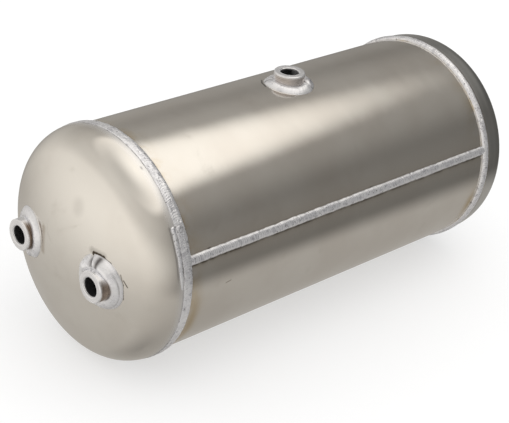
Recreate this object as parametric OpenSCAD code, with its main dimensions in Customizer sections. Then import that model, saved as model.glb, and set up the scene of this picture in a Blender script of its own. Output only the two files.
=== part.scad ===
// Welded aluminium air receiver tank.
// A rolled cylindrical shell closed by two dished heads that slip over its
// ends, with three open threaded bosses. Everything is welded; nothing moves.
// Frame: the origin is on the tank axis at the middle of the shell. The axis
// lies along X, the head with two ports is at -X, the shell port is at +Z.

/* [Shell] */
// Outer diameter of the rolled shell
shell_od = 246; // [220:2:260]
// Wall thickness of the shell sheet
shell_t = 4; // [3:0.5:5]
// Length of shell seen between the two girth welds
shell_visible = 450; // [300:1:600]
// Angle of the longitudinal seam above the horizontal, on the -Y side
seam_angle = 16; // [0:1:40]
// Gap between the two edges of the rolled sheet, filled by the seam weld
seam_gap = 2; // [1.5:0.5:3]

/* [Heads] */
// Wall thickness of the dished heads
head_t = 2.5; // [2:0.5:4]
// Outer radius of the dished crown
crown_r = 238; // [220:1:260]
// Outer radius of the knuckle between crown and flange
knuckle_r = 24; // [18:1:28]
// Straight flange of each head, from its edge to the knuckle
flange_len = 15.5; // [12:0.5:30]

/* [Ports] */
// Outer diameter of the threaded bosses
boss_od = 34; // [30:1:36]
// Minor diameter of the M22 x 1.5 thread in every boss
thread_minor = 20.376; // [20.2:0.01:20.5]
// Chamfer on the outer edge of a boss
boss_chamfer = 1; // [1:0.5:2]
// How far a boss stands out of the wall it is welded to
boss_out = 13.4; // [11:0.1:16]
// How far a boss reaches past the inner face of the wall
boss_in = 3; // [2:0.5:4]
// Distance of each head port from the tank axis
port_offset = 60; // [50:1:66]
// Position of the shell port along the tank, from its middle
top_port_x = 8; // [-60:1:60]

/* [Welds] */
// Width of the front girth weld along the tank
front_girth_w = 13; // [11:0.5:14]
// Width of the rear girth weld along the tank
rear_girth_w = 8; // [7.5:0.5:12]
// From the toe of a girth weld on the shell to the edge of the head flange
flange_gap = 5.5; // [5:0.1:5.5]
// Height of a girth weld above the head flange
girth_crown = 1; // [0.6:0.2:1.4]
// Width of the outer seam weld bead
seam_w = 10.5; // [9:0.5:12]
// Height of the seam weld bead above the shell
seam_h = 2.6; // [2:0.2:3]
// Toe diameter of the fillet weld around a boss
port_weld_d = 55; // [50:1:58]
// Height of the fillet weld where it meets the side of a boss
port_weld_h = 4; // [3:0.5:6]
// Height of the root bead inside the seam
root_h = 1.2; // [1:0.2:1.6]

/* [Hidden] */

shell_r = shell_od / 2;
shell_ri = shell_r - shell_t;
head_r = shell_r + head_t;
// top of the girth welds, the largest radius of the tank
rim_r = head_r + girth_crown;
half_visible = shell_visible / 2;
// edge of the head flange, under the girth weld
flange_edge = half_visible + flange_gap;
// plane where the knuckle starts
tangent_x = flange_edge + flange_len;
// the shell runs this far inside each head
shell_half = tangent_x - 2;

// centre of the crown sphere, on the axis behind the tangent plane
crown_back = sqrt(pow(crown_r - knuckle_r, 2) - pow(head_r - knuckle_r, 2));
crown_cx = tangent_x - crown_back;
crown_apex = crown_cx + crown_r;
// angle off the axis at which crown and knuckle meet
blend_a = atan2(head_r - knuckle_r, crown_back);
// outside of the head at the ports' distance from the axis
port_head_x = crown_cx + sqrt(crown_r * crown_r - port_offset * port_offset);
boss_r = boss_od / 2;
bore_r = thread_minor / 2;
weld_r = port_weld_d / 2;
alu = [0.76, 0.74, 0.70];
bead = [0.88, 0.88, 0.88];

$fn = 180;

// turns a shape made around Z so that it lies around the tank axis, +Z to +X
module along_x() { rotate([0, 90, 0]) children(); }
// the mirror image of the rear end at the front end
module at_front() { mirror([1, 0, 0]) children(); }

// points of a dished outline, radius first and distance along the tank second,
// at a depth off below the outer surface: flange line, knuckle arc, crown arc
knuckle_steps = 14;
crown_steps = 20;
function dish_points(off, from_x) = concat(
    [[0, from_x], [head_r - off, from_x]],
    [for (i = [0 : knuckle_steps])
        let (a = (90 - blend_a) * i / knuckle_steps)
        [head_r - knuckle_r + (knuckle_r - off) * cos(a),
         tangent_x + (knuckle_r - off) * sin(a)]],
    [for (i = [1 : crown_steps])
        let (a = blend_a * (1 - i / crown_steps))
        [(crown_r - off) * sin(a), crown_cx + (crown_r - off) * cos(a)]]);

// one dished head around Z, its open end down
module head_blank() {
    rotate_extrude() difference() {
        polygon(dish_points(0, flange_edge));
        polygon(dish_points(head_t, flange_edge - 5));
    }
}

// solid that fills the head's outer shape, used to trim the weld fillets
module head_solid() {
    rotate_extrude() polygon(dish_points(0, flange_edge));
}

// blank of a boss around Z, its outer face at z = 0
module boss_blank(len) {
    rotate_extrude() {
        polygon([[bore_r + 0.9, 0], [boss_r - boss_chamfer, 0], [boss_r, -boss_chamfer],
                 [boss_r, -len + 1], [boss_r - 1, -len], [bore_r + 0.9, -len],
                 [bore_r, -len + 0.9], [bore_r, -0.9]]);
    }
}

// low convex fillet around a boss, from the boss side down to the toe
module fillet_blank(below) {
    w = weld_r - boss_r;
    rotate_extrude() polygon([
        [boss_r, -below], [boss_r, port_weld_h - boss_out],
        [boss_r + 0.16 * w, port_weld_h + 0.2 - boss_out],
        [boss_r + 0.38 * w, port_weld_h - 0.1 - boss_out],
        [boss_r + 0.62 * w, port_weld_h * 0.76 - boss_out],
        [boss_r + 0.84 * w, port_weld_h * 0.40 - boss_out],
        [weld_r - 0.2, 0.1 - boss_out], [weld_r, -0.4 - boss_out],
        [weld_r, -below]]);
}

module shell_tube(r0, r1, len) {
    along_x() difference() {
        cylinder(r = r1, h = len, center = true);
        cylinder(r = r0, h = len + 2, center = true);
    }
}

// direction of the seam: angle above horizontal on the -Y side
module at_seam() { rotate([-seam_angle, 0, 0]) mirror([0, 1, 0]) children(); }

module shell() {
    color(alu) difference() {
        shell_tube(shell_ri, shell_r, 2 * shell_half);
        // gap of the longitudinal seam
        at_seam() translate([-shell_half - 1, shell_ri - 5, -seam_gap / 2])
            cube([2 * shell_half + 2, shell_t + 10, seam_gap]);
        // hole for the shell port
        translate([top_port_x, 0, shell_ri - 10]) cylinder(r = boss_r, h = shell_t + 20);
    }
}

module front_head() {
    color(alu) difference() {
        at_front() along_x() head_blank();
        for (s = [-1, 1]) translate([-crown_apex - 5, s * port_offset, 0])
            along_x() cylinder(r = boss_r, h = 60);
    }
}

module rear_head() {
    color(alu) along_x() head_blank();
}

head_boss_len = boss_out + head_t + boss_in + 1;
module head_boss(s) {
    translate([-port_head_x - boss_out, s * port_offset, 0])
        at_front() along_x() boss_blank(head_boss_len);
}
module left_port_boss() { color(alu) head_boss(1); }
module right_port_boss() { color(alu) head_boss(-1); }
module top_port_boss() {
    color(alu) translate([top_port_x, 0, shell_r + boss_out])
        boss_blank(boss_out + shell_t + boss_in);
}

// seam weld: cap outside, filled gap through the sheet
module seam_weld() {
    color(bead) {
        difference() {
            at_seam() union() {
                intersection() {
                    // cap bead as a lens lying on the shell
                    translate([0, shell_r - seam_cap_drop, 0])
                        along_x() cylinder(r = seam_cap_r, h = shell_visible, center = true);
                    translate([-half_visible, shell_r - 3, -seam_w / 2])
                        cube([shell_visible, 10, seam_w]);
                }
                translate([-half_visible, shell_ri, -seam_gap / 2])
                    cube([shell_visible, shell_t, seam_gap]);
            }
            // the cap rests on the shell outside the gap
            difference() {
                along_x() cylinder(r = shell_r, h = 2 * shell_half, center = true);
                at_seam() translate([-shell_half - 1, 0, -seam_gap / 2])
                    cube([2 * shell_half + 2, shell_r + 2, seam_gap]);
            }
            along_x() cylinder(r = shell_ri, h = 2 * shell_half, center = true);
        }
    }
}
// radius and sink of the round bead that leaves a cap of the stated size
seam_cap_r = (pow(seam_w / 2, 2) + pow(seam_h + 0.1, 2)) / (2 * (seam_h + 0.1));
seam_cap_drop = seam_cap_r - seam_h;

// bead that the weld leaves inside the seam, on the inner face of the sheet
module seam_root_bead() {
    root_w = 5;
    rr = (pow(root_w / 2, 2) + pow(root_h, 2)) / (2 * root_h);
    color(bead) intersection() {
        along_x() cylinder(r = shell_ri, h = 2 * half_visible, center = true, $fn = 1440);
        at_seam() translate([0, shell_ri + rr - root_h, 0])
            along_x() cylinder(r = rr, h = 2 * half_visible, center = true);
    }
}

// girth weld at +X: fillet from the shell up over the edge of the flange
module girth_weld_blank(w) {
    along_x() rotate_extrude() polygon([
        [shell_r, half_visible],
        [shell_r + 1.6, half_visible + 0.5],
        [shell_r + 2.9, half_visible + 1.9],
        [rim_r - 0.3, half_visible + 3.8],
        [rim_r, half_visible + 5.6],
        [rim_r - 0.15, half_visible + w * 0.8],
        [head_r + 0.3, half_visible + w - 0.4],
        [head_r, half_visible + w],
        [head_r, flange_edge],
        [shell_r, flange_edge]]);
}
module rear_girth_weld() { color(bead) girth_weld_blank(rear_girth_w); }
module front_girth_weld() { color(bead) at_front() girth_weld_blank(front_girth_w); }

// short second pass beside the front girth weld, where the run was restarted;
// its ends are given as angles above the horizontal on the -Y side
pass_top = 34;
pass_bottom = 4;
pass_x = half_visible + front_girth_w;
module front_girth_second_pass() {
    color(bead) at_front() along_x() rotate([0, 0, -90 - pass_top])
        rotate_extrude(angle = pass_top - pass_bottom)
        polygon([[head_r, pass_x], [head_r + 0.3, pass_x - 0.4],
                 [head_r + 0.75, pass_x + 0.6], [head_r + 0.95, pass_x + 2.4],
                 [head_r + 0.6, pass_x + 4.6], [head_r, pass_x + 5.8]]);
}

module head_port_weld(s) {
    color(bead) difference() {
        translate([-port_head_x - boss_out, s * port_offset, 0])
            at_front() along_x() fillet_blank(boss_out + 12);
        at_front() along_x() head_solid();
    }
}
module left_port_weld() { head_port_weld(1); }
module right_port_weld() { head_port_weld(-1); }
module top_port_weld() {
    color(bead) difference() {
        translate([top_port_x, 0, shell_r + boss_out]) fillet_blank(boss_out + 12);
        along_x() cylinder(r = shell_r, h = 200, center = true);
    }
}

shell();
front_head();
rear_head();
left_port_boss();
right_port_boss();
top_port_boss();
seam_weld();
seam_root_bead();
front_girth_weld();
rear_girth_weld();
front_girth_second_pass();
left_port_weld();
right_port_weld();
top_port_weld();
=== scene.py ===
import math

import bpy
import numpy as np
from mathutils import Matrix, Vector


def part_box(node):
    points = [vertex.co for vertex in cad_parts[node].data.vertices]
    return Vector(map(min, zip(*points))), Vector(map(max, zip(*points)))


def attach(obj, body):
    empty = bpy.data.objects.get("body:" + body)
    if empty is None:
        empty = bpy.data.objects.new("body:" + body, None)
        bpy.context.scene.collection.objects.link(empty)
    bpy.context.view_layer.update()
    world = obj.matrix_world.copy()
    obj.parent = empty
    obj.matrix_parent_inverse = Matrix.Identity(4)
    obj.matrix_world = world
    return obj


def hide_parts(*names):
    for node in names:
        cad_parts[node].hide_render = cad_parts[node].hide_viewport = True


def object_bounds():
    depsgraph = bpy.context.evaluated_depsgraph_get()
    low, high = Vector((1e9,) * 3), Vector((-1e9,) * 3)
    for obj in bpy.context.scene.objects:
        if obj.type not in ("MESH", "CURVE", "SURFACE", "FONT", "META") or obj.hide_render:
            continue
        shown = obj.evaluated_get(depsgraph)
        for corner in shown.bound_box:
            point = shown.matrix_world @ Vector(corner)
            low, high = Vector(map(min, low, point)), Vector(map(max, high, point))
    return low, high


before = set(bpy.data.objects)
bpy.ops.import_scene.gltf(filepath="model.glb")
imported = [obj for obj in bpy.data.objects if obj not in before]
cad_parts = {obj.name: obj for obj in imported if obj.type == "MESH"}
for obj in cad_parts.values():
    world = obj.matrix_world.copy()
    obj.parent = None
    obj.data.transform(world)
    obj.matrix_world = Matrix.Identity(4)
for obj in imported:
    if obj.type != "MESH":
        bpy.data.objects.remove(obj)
cad_box = [[float(c) for c in corner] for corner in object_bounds()]
scene = bpy.context.scene
MM = 0.001

# ---------------------------------------------------------------- sizes, all in mm, some read from the imported model and some given


def box_mm(node):
    lo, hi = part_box(node)
    return np.array(lo) / MM, np.array(hi) / MM


SH = box_mm("shell")
RH = box_mm("rear_head")
RG = box_mm("rear_girth_weld")
SHELL_R = SH[1][1]
SHELL_T = 4.0
SHELL_HALF = SH[1][0]
HEAD_R = RH[1][1]
HEAD_T = 2.5
APEX = RH[1][0]
EDGE = RH[0][0]
RIM_R = RG[1][1]
FRONT_W = box_mm("front_girth_weld")[1][0] - box_mm("front_girth_weld")[0][0]
REAR_W = RG[1][0] - RG[0][0]
TOE = EDGE - RG[0][0]
CROWN_R, KNUCKLE_R = 238.0, 24.0
TANGENT = EDGE + 15.5
CROWN_CX = APEX - CROWN_R
SEAM = math.radians(16.0)
SEAM_W, SEAM_H = 10.5, 2.6
BOSS_R = (box_mm("left_port_boss")[1][1] - box_mm("left_port_boss")[0][1]) / 2
BORE_R, THREAD_PITCH, THREAD_DEPTH = 10.188, 1.5, 0.80
CHAMFER = 1.0


def centre(node):
    lo, hi = box_mm(node)
    return (lo + hi) / 2


# ---------------------------------------------------------------- seeded smooth noise


def lattice(seed, n):
    return np.random.RandomState(seed).uniform(-1, 1, n)


def noise1(x, seed, period=None):
    x = np.asarray(x, float)
    n = int(period or 4096)
    i = np.floor(x).astype(int)
    f = x - i
    f = f * f * (3 - 2 * f)
    table = lattice(seed, n)
    return table[i % n] * (1 - f) + table[(i + 1) % n] * f


def fbm1(x, seed, period=None, octaves=3):
    total, amp, k = 0.0, 1.0, 1
    for o in range(octaves):
        total = total + amp * noise1(np.asarray(x) * k, seed + 17 * o, period * k if period else None)
        amp *= 0.5
        k *= 2
    return total / 1.75


def noise2(u, v, seed, pu=512, pv=512):
    u, v = np.broadcast_arrays(np.asarray(u, float), np.asarray(v, float))
    pu, pv = int(pu), int(pv)
    table = np.random.RandomState(seed).uniform(-1, 1, (pu, pv))
    i, j = np.floor(u).astype(int), np.floor(v).astype(int)
    fu, fv = u - i, v - j
    fu, fv = fu * fu * (3 - 2 * fu), fv * fv * (3 - 2 * fv)
    a, b = table[i % pu, j % pv], table[(i + 1) % pu, j % pv]
    c, d = table[i % pu, (j + 1) % pv], table[(i + 1) % pu, (j + 1) % pv]
    return (a * (1 - fu) + b * fu) * (1 - fv) + (c * (1 - fu) + d * fu) * fv


def smooth(x, a, b):
    t = np.clip((np.asarray(x, float) - a) / (b - a), 0, 1)
    return t * t * (3 - 2 * t)


def spline(points, n):
    """n points along a Catmull-Rom curve through points, evenly spread by length."""
    p = np.array(points, float)
    p = np.vstack([2 * p[0] - p[1], p, 2 * p[-1] - p[-2]])
    out = []
    for k in range(1, len(p) - 2):
        for t in np.linspace(0, 1, 24, endpoint=False):
            a, b, c, d = p[k - 1], p[k], p[k + 1], p[k + 2]
            out.append(0.5 * ((2 * b) + (c - a) * t + (2 * a - 5 * b + 4 * c - d) * t * t + (3 * b - a - 3 * c + d) * t ** 3))
    out.append(p[-2])
    out = np.array(out)
    s = np.concatenate([[0], np.cumsum(np.linalg.norm(np.diff(out, axis=0), axis=1))])
    want = np.linspace(0, s[-1], n)
    return np.stack([np.interp(want, s, out[:, k]) for k in range(out.shape[1])], 1)


def wrap(d):
    return (np.asarray(d) + math.pi) % (2 * math.pi) - math.pi


# ---------------------------------------------------------------- mesh helpers


def add_mesh(name, verts, faces, attributes=None, sharp=35.0):
    me = bpy.data.meshes.new(name)
    me.from_pydata((np.asarray(verts) * MM).tolist(), [], faces)
    me.update()
    me.validate()
    for key, values in (attributes or {}).items():
        layer = me.attributes.new(key, "FLOAT", "POINT")
        layer.data.foreach_set("value", np.asarray(values, np.float32).ravel())
    ob = bpy.data.objects.new(name, me)
    scene.collection.objects.link(ob)
    finish_shading(ob, sharp)
    return ob


def finish_shading(ob, sharp=35.0):
    me = ob.data
    me.shade_smooth()
    me.set_sharp_from_angle(angle=math.radians(sharp))


def grid_faces(nu, nv, close_u, close_v, flip=False):
    """Quads of a grid whose vertex (i, j) is number i * nv + j."""
    i = np.arange(nu if close_u else nu - 1)
    j = np.arange(nv if close_v else nv - 1)
    i, j = np.meshgrid(i, j, indexing="ij")
    i2, j2 = (i + 1) % nu, (j + 1) % nv
    q = np.stack([i * nv + j, i2 * nv + j, i2 * nv + j2, i * nv + j2], -1).reshape(-1, 4)
    return (q[:, ::-1] if flip else q).tolist()


def outward(ob):
    """Makes every face of a closed mesh point out."""
    import bmesh
    bm = bmesh.new()
    bm.from_mesh(ob.data)
    bmesh.ops.recalc_face_normals(bm, faces=bm.faces)
    bm.to_mesh(ob.data)
    bm.free()
    ob.data.update()


def cut(ob, cutters):
    """Cuts closed bodies out of ob, and keeps the result as its mesh."""
    for c in cutters:
        m = ob.modifiers.new("cut", "BOOLEAN")
        m.operation, m.solver, m.object = "DIFFERENCE", "EXACT", c
    bpy.context.view_layer.update()
    dep = bpy.context.evaluated_depsgraph_get()
    me = bpy.data.meshes.new_from_object(ob.evaluated_get(dep))
    ob.modifiers.clear()
    old = ob.data
    ob.data = me
    bpy.data.meshes.remove(old)
    for c in cutters:
        bpy.data.objects.remove(c)
    finish_shading(ob)


def plug(name, base, axis, radius, length, n=96):
    """A closed round cutter, used only to cut with."""
    axis = np.array(axis, float)
    side = np.cross(axis, [0.3, 0.5, 0.8])
    side /= np.linalg.norm(side)
    other = np.cross(axis, side)
    a = np.linspace(0, 2 * math.pi, n, endpoint=False)
    ring = np.outer(np.cos(a), side) + np.outer(np.sin(a), other)
    verts = np.vstack([np.array(base) + ring * radius, np.array(base) + axis * length + ring * radius])
    faces = [[i, (i + 1) % n, n + (i + 1) % n, n + i] for i in range(n)]
    faces += [list(range(n))[::-1], list(range(n, 2 * n))]
    ob = add_mesh(name, verts, faces)
    outward(ob)
    return ob


# ---------------------------------------------------------------- the pieces
# theta is the angle above the horizontal, seen from -Y: 0 at -Y, 90 degrees at +Z


def on_tank(x, r, theta):
    x, r, theta = np.broadcast_arrays(x, r, theta)
    return np.stack([x, -r * np.cos(theta), r * np.sin(theta)], -1)


def shell_wave(x, theta):
    """Shallow hollows that rolling and welding leave in the sheet, inward only."""
    u = x / 90.0 + 20
    v = theta / (2 * math.pi) * 9
    w = 0.10 * (noise2(u, v, 41, 64, 9) + 1) / 2 + 0.05 * (noise2(u * 2.3, v * 2, 42, 128, 18) + 1) / 2
    pull = np.exp(-np.abs(np.abs(x) - (EDGE - 5)) / 14.0) * 0.25
    seam_pull = np.exp(-(wrap(theta - SEAM) * SHELL_R / 16.0) ** 2) * 0.22
    return w + pull + seam_pull


def build_shell():
    n, m = 360, 150
    gap = 1.0 / SHELL_R
    th = np.linspace(SEAM + gap, SEAM + 2 * math.pi - gap, n)
    edge_pos = np.linspace(-1, 1, m)
    xs = SHELL_HALF * (0.72 * edge_pos + 0.28 * edge_pos ** 5)
    X, T = np.meshgrid(xs, th, indexing="ij")
    fade = smooth(SHELL_HALF - np.abs(X), 0.0, 18.0) * 0 + 1
    ro = SHELL_R - shell_wave(X, T) * fade * 0.8 - 0.01
    ri = np.full_like(ro, SHELL_R - SHELL_T)
    outer, inner = on_tank(X, ro, T), on_tank(X, ri, T)
    loop = np.concatenate([outer, inner[:, ::-1]], 1)
    k = 2 * n
    verts = loop.reshape(-1, 3)
    faces = grid_faces(m, k, False, True)
    for row, flip in ((0, False), (m - 1, True)):
        for i in range(n - 1):
            f = [row * k + i, row * k + i + 1, row * k + (k - 2 - i), row * k + (k - 1 - i)]
            faces.append(f[::-1] if flip else f)
    ob = add_mesh("tank_shell", verts, faces)
    outward(ob)
    c = centre("top_port_boss")
    cut(ob, [plug("cut_top", (c[0], 0, SHELL_R - 15), (0, 0, 1), BOSS_R, 30)])
    return ob


FRONT_KNUCKLE = 40.0


def tangent_for(knuckle):
    """Where a knuckle of this radius starts, so that it still meets the crown smoothly."""
    return CROWN_CX + math.sqrt((CROWN_R - knuckle) ** 2 - (HEAD_R - knuckle) ** 2)


def head_outline(off, knuckle, n_flange=8, n_knuckle=30, n_crown=70, crown_to=0.0):
    tangent = tangent_for(knuckle)
    blend = math.atan2(HEAD_R - knuckle, tangent - CROWN_CX)
    pts = [(HEAD_R - off, x) for x in np.linspace(EDGE, tangent, n_flange, endpoint=False)]
    for a in np.linspace(0, math.pi / 2 - blend, n_knuckle, endpoint=False):
        pts.append((HEAD_R - knuckle + (knuckle - off) * math.cos(a), tangent + (knuckle - off) * math.sin(a)))
    for a in np.linspace(blend, crown_to, n_crown):
        pts.append(((CROWN_R - off) * math.sin(a), CROWN_CX + (CROWN_R - off) * math.cos(a)))
    return np.array(pts)


def build_head(name, side, holes):
    n = 320
    knuckle = FRONT_KNUCKLE if side < 0 else KNUCKLE_R
    out, inn = head_outline(0.0, knuckle), head_outline(HEAD_T, knuckle, 4, 16, 30)
    th = np.linspace(0, 2 * math.pi, n, endpoint=False)
    rows, weights = [], []
    for k, (r, x) in enumerate(np.vstack([out[:-1], inn[:-1][::-1]])):
        outer_side = k < len(out) - 1
        dx = 0.0
        if side > 0 and outer_side and x < TANGENT + 14:
            r = r - 0.75 * float(smooth(x, EDGE + 4, TANGENT + 2)) * float(1 - smooth(x, TANGENT + 2, TANGENT + 14))
        if outer_side and r < HEAD_R - 6:
            # the pressing leaves very shallow hollows in the crown
            f = smooth(HEAD_R - r, 6, 30)
            dx = -f * (0.05 * (noise2(r / 34.0 + 3, th / (2 * math.pi) * 7, 61 + side, 64, 7) + 1)
                       + 0.02 * (noise2(r / 15.0 + 3, th / (2 * math.pi) * 16, 63 + side, 64, 16) + 1))
        rows.append(on_tank(side * (x + dx), r, th))
    pole_out = len(out) - 1
    verts = np.concatenate(rows, 0)
    total = len(rows)
    faces = []
    for i in range(total - 1):
        if i == pole_out - 1:
            continue
        a, b = i * n, (i + 1) * n
        faces += [[a + j, a + (j + 1) % n, b + (j + 1) % n, b + j] for j in range(n)]
    a, b = (total - 1) * n, 0
    faces += [[a + j, a + (j + 1) % n, b + (j + 1) % n, b + j] for j in range(n)]
    apex_o, apex_i = len(verts), len(verts) + 1
    verts = np.vstack([verts, [[side * (APEX - 0.12), 0, 0]], [[side * (APEX - HEAD_T), 0, 0]]])
    a, b = (pole_out - 1) * n, pole_out * n
    faces += [[a + j, a + (j + 1) % n, apex_o] for j in range(n)]
    faces += [[b + (j + 1) % n, b + j, apex_i] for j in range(n)]
    ob = add_mesh(name, verts, faces)
    outward(ob)
    if holes:
        cut(ob, [plug("cut_%s" % nd, (-APEX - 20, centre(nd)[1], centre(nd)[2]), (1, 0, 0), BOSS_R, 60) for nd in holes])
    return ob


def build_boss(name, node, axis, seed):
    """A turned boss with a real helical thread. axis points out of the tank."""
    lo, hi = box_mm(node)
    mid = (lo + hi) / 2
    axis = np.array(axis, float)
    k = int(np.argmax(np.abs(axis)))
    face = np.array(mid)
    face[k] = hi[k] if axis[k] > 0 else lo[k]
    length = hi[k] - lo[k]
    side = np.array([0.0, 1.0, 0.0])
    other = np.cross(axis, side)
    n = 120
    phi = np.linspace(0, 2 * math.pi, n, endpoint=False)
    rows, bore, rad, dep = [], [], [], []

    def row(r, d, in_bore):
        r = np.broadcast_to(np.asarray(r, float), (n,))
        pos = face - axis * d + np.outer(r * np.cos(phi), side) + np.outer(r * np.sin(phi), other)
        rows.append(pos)
        bore.append(np.full(n, in_bore, float))
        rad.append(r)
        dep.append(np.full(n, d, float))

    c = CHAMFER
    # face ring, rounded very slightly at its edges, then the outer chamfer and wall
    for r in np.linspace(BORE_R + 1.15, BOSS_R - c - 0.15, 9):
        row(r, 0.012 * (1 + math.sin(r * 9.0)), 0.0)
    row(BOSS_R - c + 0.05, 0.05, 0)
    for t in np.linspace(0.12, 0.9, 5):
        row(BOSS_R - c + c * t, c * t, 0)
    row(BOSS_R - 0.03, c + 0.06, 0)
    for d in np.linspace(c + 0.3, length - 1.3, 34):
        row(BOSS_R - 0.02 - 0.012 * math.sin(d * 7.0) ** 2, d, 0)
    row(BOSS_R - 0.2, length - 0.8, 0)
    row(BOSS_R - 1.0, length, 0)
    row(BORE_R + 1.0, length, 1)
    # thread, from the inner end to the outer chamfer
    depth = np.arange(length - 0.05, 0.0, -0.14)
    for d in depth:
        phase = (d / THREAD_PITCH - phi / (2 * math.pi)) % 1.0
        g = np.clip((0.375 - np.abs(phase - 0.5)) / 0.3125, 0, 1)
        r = BORE_R + THREAD_DEPTH * g
        sink = max(BORE_R + 1.0 - d, BORE_R + 1.0 - (length - d))
        r = np.maximum(r, sink)
        row(r, d, smooth(d, 0.9, 3.2))
    m = len(rows)
    verts = np.concatenate(rows, 0)
    faces = grid_faces(m, n, True, True)
    ob = add_mesh(name, verts, faces, {"bore": np.concatenate(bore), "rad": np.concatenate(rad) / 10.0, "dep": np.concatenate(dep) / 10.0}, sharp=28)
    outward(ob)
    return ob


def ripple(s, v, pitch, seed, bow=0.9):
    """Overlapping crescents of a hand-laid bead: s runs along it in mm, v across it from -1 to 1. 0 in the valleys, 1 on the ridges."""
    jitter = 0.55 * fbm1(s / 9.0, seed, None, 2) + 0.18 * noise1(s / 2.1, seed + 5)
    phase = s / pitch + jitter + bow * v * v
    return np.abs(np.sin(math.pi * phase)) ** 0.65


def build_girth(name, side, seed, width, stop_at, bulbs, lines, toes):
    """Bead round the edge of a head.
    stop_at: (angle, mm past the flange edge, depth, size) of each crater; bulbs: the same, with a height, of each drop.
    lines: (mm past the flange edge, from angle, to angle, half width, depth, darkness) of laps between runs.
    toes: how dark the toe is on the shell and on the head."""
    n, m = 1500, 34
    th = np.linspace(0, 2 * math.pi, n, endpoint=False)
    e = width - TOE
    prof = spline([(-TOE, 0.0), (-TOE + 0.5, 1.4), (-TOE + 1.9, 2.55), (-1.6, 3.1), (0.1, 3.25), (0.1 + 0.6 * e, 3.15), (e - 0.4, 2.8), (e, 2.45)], m)
    tan = np.gradient(prof, axis=0)
    nor = np.stack([-tan[:, 1], tan[:, 0]], 1)
    nor /= np.linalg.norm(nor, axis=1)[:, None]
    v = np.linspace(-1, 1, m)
    T, V = np.meshgrid(th, v, indexing="ij")
    across = np.broadcast_to(prof[:, 0], T.shape)
    S = T * RIM_R
    circ = 2 * math.pi * RIM_R
    # keep the pattern periodic: an exact number of ripples round the tank
    pitch = circ / round(circ / 2.5)
    lumps = 0.16 * fbm1(th / (2 * math.pi) * 60, seed + 1, 60)
    toe_a = 0.45 * fbm1(th / (2 * math.pi) * 70, seed + 2, 70)
    toe_b = 0.40 * fbm1(th / (2 * math.pi) * 90, seed + 3, 90)
    jitter = 0.6 * noise1(th / (2 * math.pi) * 120, seed + 6, 120) + 0.2 * noise1(th / (2 * math.pi) * 480, seed + 7, 480)
    phase = S / pitch + jitter[:, None] + 0.9 * V * V
    rip = np.abs(np.sin(math.pi * phase)) ** 0.65
    window = np.clip(1 - np.abs(V) ** 4, 0, 1)
    # smoother metal where the weld was laid faster
    calm = 0.62 + 0.38 * noise1(th / (2 * math.pi) * 14, seed + 8, 14)
    amp = 0.42 * calm
    grain = 0.10 * noise2(S / 1.1, V * 9, seed + 9, 1024, 64) + 0.06 * noise2(S / 0.6, V * 16, seed + 10, 2048, 64)
    swell = 0.16 * noise2(S / 5.5, V * 2.5 + 8, seed + 12, 256, 32)
    disp = (rip - 0.75) * amp[:, None] * window + (lumps[:, None] + swell) * window + grain * window
    dark = np.zeros_like(disp)
    for k, (at, a0, a1, half, depth, tone) in enumerate(lines):
        mid = math.radians((a0 + a1) / 2)
        half_arc = math.radians(abs(a1 - a0) / 2)
        inside = smooth(half_arc - np.abs(wrap(T - mid)), -0.02, 0.05)
        wob = 0.35 * fbm1(th / (2 * math.pi) * 110, seed + 40 + k, 110)[:, None] + 0.15 * noise1(th / (2 * math.pi) * 420, seed + 50 + k, 420)[:, None]
        broken = 0.55 + 0.45 * noise1(th / (2 * math.pi) * 260, seed + 60 + k, 260)[:, None]
        g = np.exp(-((across - at - wob) / half) ** 2) * inside
        disp = disp - depth * g
        dark = dark + tone * g * broken
    for a, at, depth, size in stop_at:
        ds = wrap(T - math.radians(a)) * RIM_R
        dv = across - at
        d2 = (ds ** 2 + dv ** 2) / size ** 2
        disp = disp - depth * np.exp(-d2) + 0.45 * depth * np.exp(-(np.sqrt(d2) - 1.5) ** 2 / 0.18)
        dark += 0.9 * np.exp(-d2 * 2.2)
    bulge = np.zeros_like(disp)
    for a, at, height, size in bulbs:
        d2 = ((wrap(T - math.radians(a)) * RIM_R) ** 2 + (across - at) ** 2) / size ** 2
        bulge = bulge + height * np.clip(1 - d2, 0, 1) ** 0.6
        # painted shade in a thin ring round the foot of each drop
        dark += 0.55 * np.exp(-(np.sqrt(d2) - 1.06) ** 2 / 0.010)
    disp = disp + bulge
    xo = prof[:, 0][None, :] + nor[:, 0][None, :] * disp
    ro = SHELL_R + prof[:, 1][None, :] + nor[:, 1][None, :] * disp
    xo = xo + toe_a[:, None] * smooth(-V, 0, 1) * 1.0 + toe_b[:, None] * smooth(V, 0, 1)
    xo = np.clip(xo, -TOE + 0.02, e - 0.02)
    ro = np.minimum(ro, RIM_R - 0.02 + bulge)
    bottom = np.array([(e - 0.3, 2.2), (0.3, 2.0), (-0.1, -0.5), (-TOE + 0.3, -0.5)])
    bx = np.broadcast_to(bottom[:, 0], (n, 4)).copy()
    bx[:, 0] = np.minimum(bx[:, 0] + toe_b, e - 0.1)
    bx[:, 3] = np.maximum(bx[:, 3] + toe_a, -TOE + 0.1)
    br = np.broadcast_to(SHELL_R + bottom[:, 1], (n, 4))
    X = np.concatenate([xo, bx], 1) + EDGE
    Rr = np.concatenate([ro, br], 1)
    verts = on_tank(side * X, Rr, T[:, :1]).reshape(-1, 3)
    toe = toes[0] * np.clip((-V - 0.86) / 0.14, 0, 1) ** 1.3 + toes[1] * np.clip((V - 0.86) / 0.14, 0, 1) ** 1.3
    # painted shade in the valleys of the ripples
    groove = (1 - rip) ** 2 * window * calm[:, None]
    pad = np.ones((n, 4))
    attrs = {
        "toe": np.concatenate([np.clip(toe + dark, 0, 1), pad], 1),
        "groove": np.concatenate([groove, pad * 0], 1),
    }
    ob = add_mesh(name, verts, grid_faces(n, m + 4, True, True), {k: a.reshape(-1) for k, a in attrs.items()}, sharp=60)
    outward(ob)
    return ob


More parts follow.
